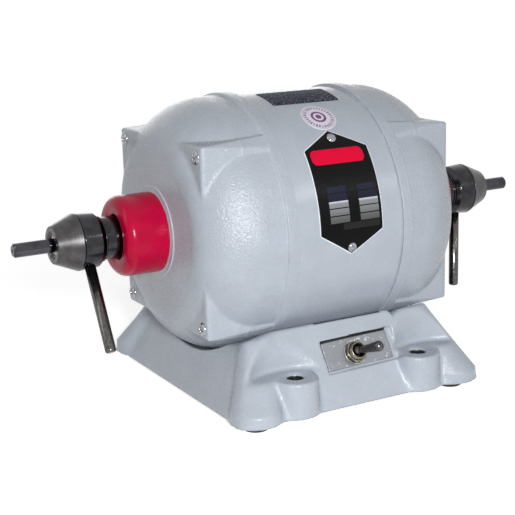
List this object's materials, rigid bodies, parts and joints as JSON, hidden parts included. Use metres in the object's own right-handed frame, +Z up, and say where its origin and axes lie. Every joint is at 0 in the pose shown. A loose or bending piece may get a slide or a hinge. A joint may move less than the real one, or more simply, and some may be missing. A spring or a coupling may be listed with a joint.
{
  "type": "dental polishing lathe",
  "caption": "Double-ended bench polishing motor on a cast base, with a quick-change chuck and lever on each spindle end and a toggle switch in front.",
  "frame": {"origin": "under the middle of the machine, level with the bottom of its rubber feet", "axes": "+X along the spindle to the right as seen from the switch side, +Y to the back, +Z up"},
  "size_m": [0.408, 0.222, 0.2089],
  "materials": {
    "grey_enamel": "gloss enamel with a fine orange-peel texture",
    "cover_sheet": "satin",
    "rubber": "matt",
    "zinc_steel": "zinc plated",
    "chrome": "polished",
    "nickel": "polished",
    "red_cap": "gloss",
    "dark_steel": "turned and blackened, polished",
    "bright_steel": "turned",
    "bronze": "turned",
    "copper": "varnished wire",
    "laminations": "stacked sheet",
    "fan_alloy": "as cast",
    "black_plate": "satin print",
    "label_film": "printed film",
    "black_plastic": "moulded",
    "capacitor_can": "drawn"
  },
  "bodies": {
    "frame": {"base_casting": "grey_enamel", "bottom_cover": "cover_sheet", "rubber_feet": "rubber", "foot_screws": "zinc_steel", "cradle_bolts": "zinc_steel", "cord_grommet": "rubber", "motor_band": "grey_enamel", "stator_core": "laminations", "winding_left": "copper", "winding_right": "copper", "end_bell_left": "grey_enamel", "end_bell_right": "grey_enamel", "bell_screws_left": "chrome", "bell_screws_right": "chrome", "outer_ring_left": "bright_steel", "outer_ring_right": "bright_steel", "circlip_left": "bright_steel", "circlip_right": "bright_steel", "bearing_cap_left": "red_cap", "bearing_cap_right": "red_cap", "data_plate": "black_plate", "plate_rivets": "zinc_steel", "top_label": "label_film", "round_label": "label_film", "switch_plate": "zinc_steel", "switch_body": "black_plastic", "switch_bushing": "nickel", "switch_washer": "zinc_steel", "switch_nut": "nickel", "capacitor": "capacitor_can", "capacitor_clamp": "zinc_steel"},
    "spindle": {"spindle_shaft": "bright_steel", "rotor_core": "laminations", "cooling_fan": "fan_alloy", "inner_ring_left": "bright_steel", "inner_ring_right": "bright_steel", "bearing_balls_left": "bright_steel", "bearing_balls_right": "bright_steel", "chuck_body_left": "dark_steel", "chuck_body_right": "dark_steel", "chuck_nose_left": "dark_steel", "chuck_nose_right": "dark_steel"},
    "lever_left": {"lever_collar_left": "dark_steel", "lever_bush_left": "bronze", "lever_rod_left": "bright_steel"},
    "collet_left_body": {"collet_left": "bright_steel", "mandrel_pin_left": "bright_steel"},
    "lever_right": {"lever_collar_right": "dark_steel", "lever_bush_right": "bronze", "lever_rod_right": "bright_steel"},
    "collet_right_body": {"collet_right": "bright_steel", "mandrel_pin_right": "bright_steel"},
    "switch_bat": {"switch_lever": "bright_steel"}
  },
  "joints": [
    {"name": "spindle_spin", "type": "hinge", "parent": "frame", "child": "spindle", "pos_m": [0, 0, 0.1185], "axis": [1, 0, 0], "continuous": true},
    {"name": "lever_left_swing", "type": "hinge", "parent": "frame", "child": "lever_left", "pos_m": [-0.1548, 0, 0.1185], "axis": [-1, 0, 0], "range_deg": [-28.8, 31.2]},
    {"name": "lever_right_swing", "type": "hinge", "parent": "frame", "child": "lever_right", "pos_m": [0.1548, 0, 0.1185], "axis": [-1, 0, 0], "range_deg": [0, 60]},
    {"name": "collet_left_slide", "type": "slide", "parent": "spindle", "child": "collet_left_body", "axis": [-1, 0, 0], "range_m": [-0.001, 0.0011]},
    {"name": "collet_right_slide", "type": "slide", "parent": "spindle", "child": "collet_right_body", "axis": [1, 0, 0], "range_m": [0, 0.0021]},
    {"name": "switch_throw", "type": "hinge", "parent": "frame", "child": "switch_bat", "pos_m": [0.0035, -0.08878, 0.03705], "axis": [-0.4226, -0.4573, -0.7825], "range_deg": [0, 40]}
  ],
  "couplings": [
    {"joint": "collet_left_slide", "follows": "lever_left_swing", "m_per_rad": 0.0019},
    {"joint": "collet_right_slide", "follows": "lever_right_swing", "m_per_rad": 0.0019}
  ]
}
